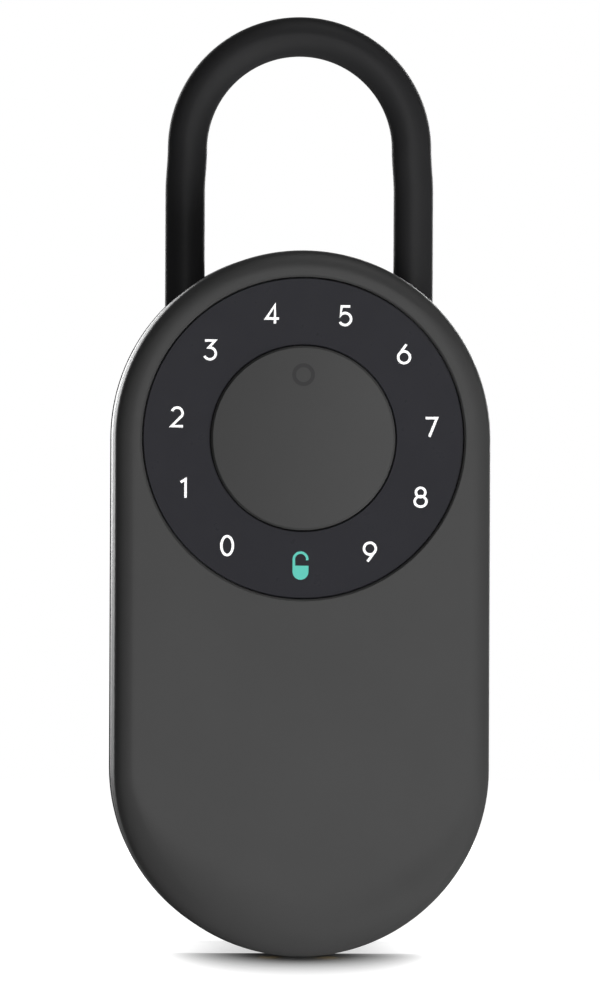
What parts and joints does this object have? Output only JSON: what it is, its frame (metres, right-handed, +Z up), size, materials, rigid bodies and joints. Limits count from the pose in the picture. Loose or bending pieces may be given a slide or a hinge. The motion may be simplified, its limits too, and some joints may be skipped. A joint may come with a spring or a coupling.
{
  "type": "smart key safe",
  "caption": "Slim key safe with a touch-ring lid that drops open at its foot, a key compartment and a removable shackle.",
  "frame": {"origin": "centre of the flat wall face of the back pad, half way up the case", "axes": "+Z up, towards the shackle; +Y out of the back, towards the wall; +X to the right, seen from the front"},
  "size_m": [0.08, 0.05, 0.2006],
  "materials": {
    "coated_metal": "satin dark grey metallic coat",
    "cast_metal": "satin dark grey coat",
    "touch_ring": "smooth blue-black",
    "sleeve": "matt black moulded sleeve",
    "rubber": "matt black",
    "foam_mat": "short felt",
    "dark_plastic": "fine texture",
    "steel": "plain",
    "brass": "plain",
    "circuit_board": "green solder mask",
    "clear_plastic": "frosted",
    "cell_wrap": "printed wrap, plain"
  },
  "bodies": {
    "case": {"rear_body": "cast_metal", "back_pad": "rubber", "key_mat": "foam_mat", "wall_plug_1": "rubber", "wall_plug_2": "rubber", "wall_plug_3": "rubber", "wall_plug_4": "rubber", "bay_cover": "dark_plastic", "bay_screw_1": "steel", "bay_screw_2": "steel", "bay_screw_3": "steel", "strike_plate": "steel", "strike_screw_1": "steel", "strike_screw_2": "steel", "detent_leaf": "steel", "hinge_pin": "steel", "socket_bush_left": "dark_plastic", "socket_bush_right": "dark_plastic"},
    "latch": {"latch_plate": "steel", "release_knob": "dark_plastic"},
    "shackle": {"shackle_core": "steel", "shackle_sleeve": "sleeve"},
    "lid": {"front_cover": "coated_metal", "lid_liner": "dark_plastic", "liner_screw_1": "steel", "liner_screw_2": "steel", "liner_screw_3": "steel", "liner_screw_4": "steel", "lid_seal": "rubber", "main_board": "circuit_board", "radio_module": "steel", "buzzer": "dark_plastic", "jump_contact_1": "brass", "jump_contact_2": "brass", "keypad_ring": "touch_ring", "centre_cap": "coated_metal", "status_light_pipe": "clear_plastic", "touch_board": "circuit_board", "board_connector": "dark_plastic", "gear_motor": "steel", "bolt_guide": "dark_plastic", "battery_tray": "dark_plastic", "battery_cell_1": "cell_wrap", "battery_cell_2": "cell_wrap", "battery_cell_3": "cell_wrap", "battery_cell_4": "cell_wrap", "contact_upper_left": "steel", "contact_upper_right": "steel", "contact_lower_link": "steel", "contact_lower_left": "steel", "contact_lower_right": "steel"},
    "bolt": {"lock_bolt": "steel"},
    "pinion": {"lock_pinion": "brass"},
    "battery_door": {"battery_cover": "dark_plastic"}
  },
  "joints": [
    {"name": "lid_hinge", "type": "hinge", "parent": "case", "child": "lid", "pos_m": [0, -0.0282, -0.07105], "axis": [1, 0, 0], "range_deg": [0, 90]},
    {"name": "shackle_lift", "type": "slide", "parent": "case", "child": "shackle", "axis": [0, 0, 1], "range_m": [0, 0.038]},
    {"name": "latch_slide", "type": "slide", "parent": "case", "child": "latch", "axis": [1, 0, 0], "range_m": [0, 0.0022]},
    {"name": "bolt_slide", "type": "slide", "parent": "lid", "child": "bolt", "axis": [1, 0, 0], "range_m": [0, 0.0075]},
    {"name": "pinion_spin", "type": "hinge", "parent": "lid", "child": "pinion", "pos_m": [-0.014, -0.0391, 0.059], "axis": [0, 0, -1], "range_deg": [0, 144]},
    {"name": "battery_cover_lift", "type": "slide", "parent": "lid", "child": "battery_door", "axis": [0, 1, 0], "range_m": [0, 0.018]}
  ],
  "couplings": [
    {"joint": "pinion_spin", "follows": "bolt_slide", "rad_per_m": 333.33}
  ]
}
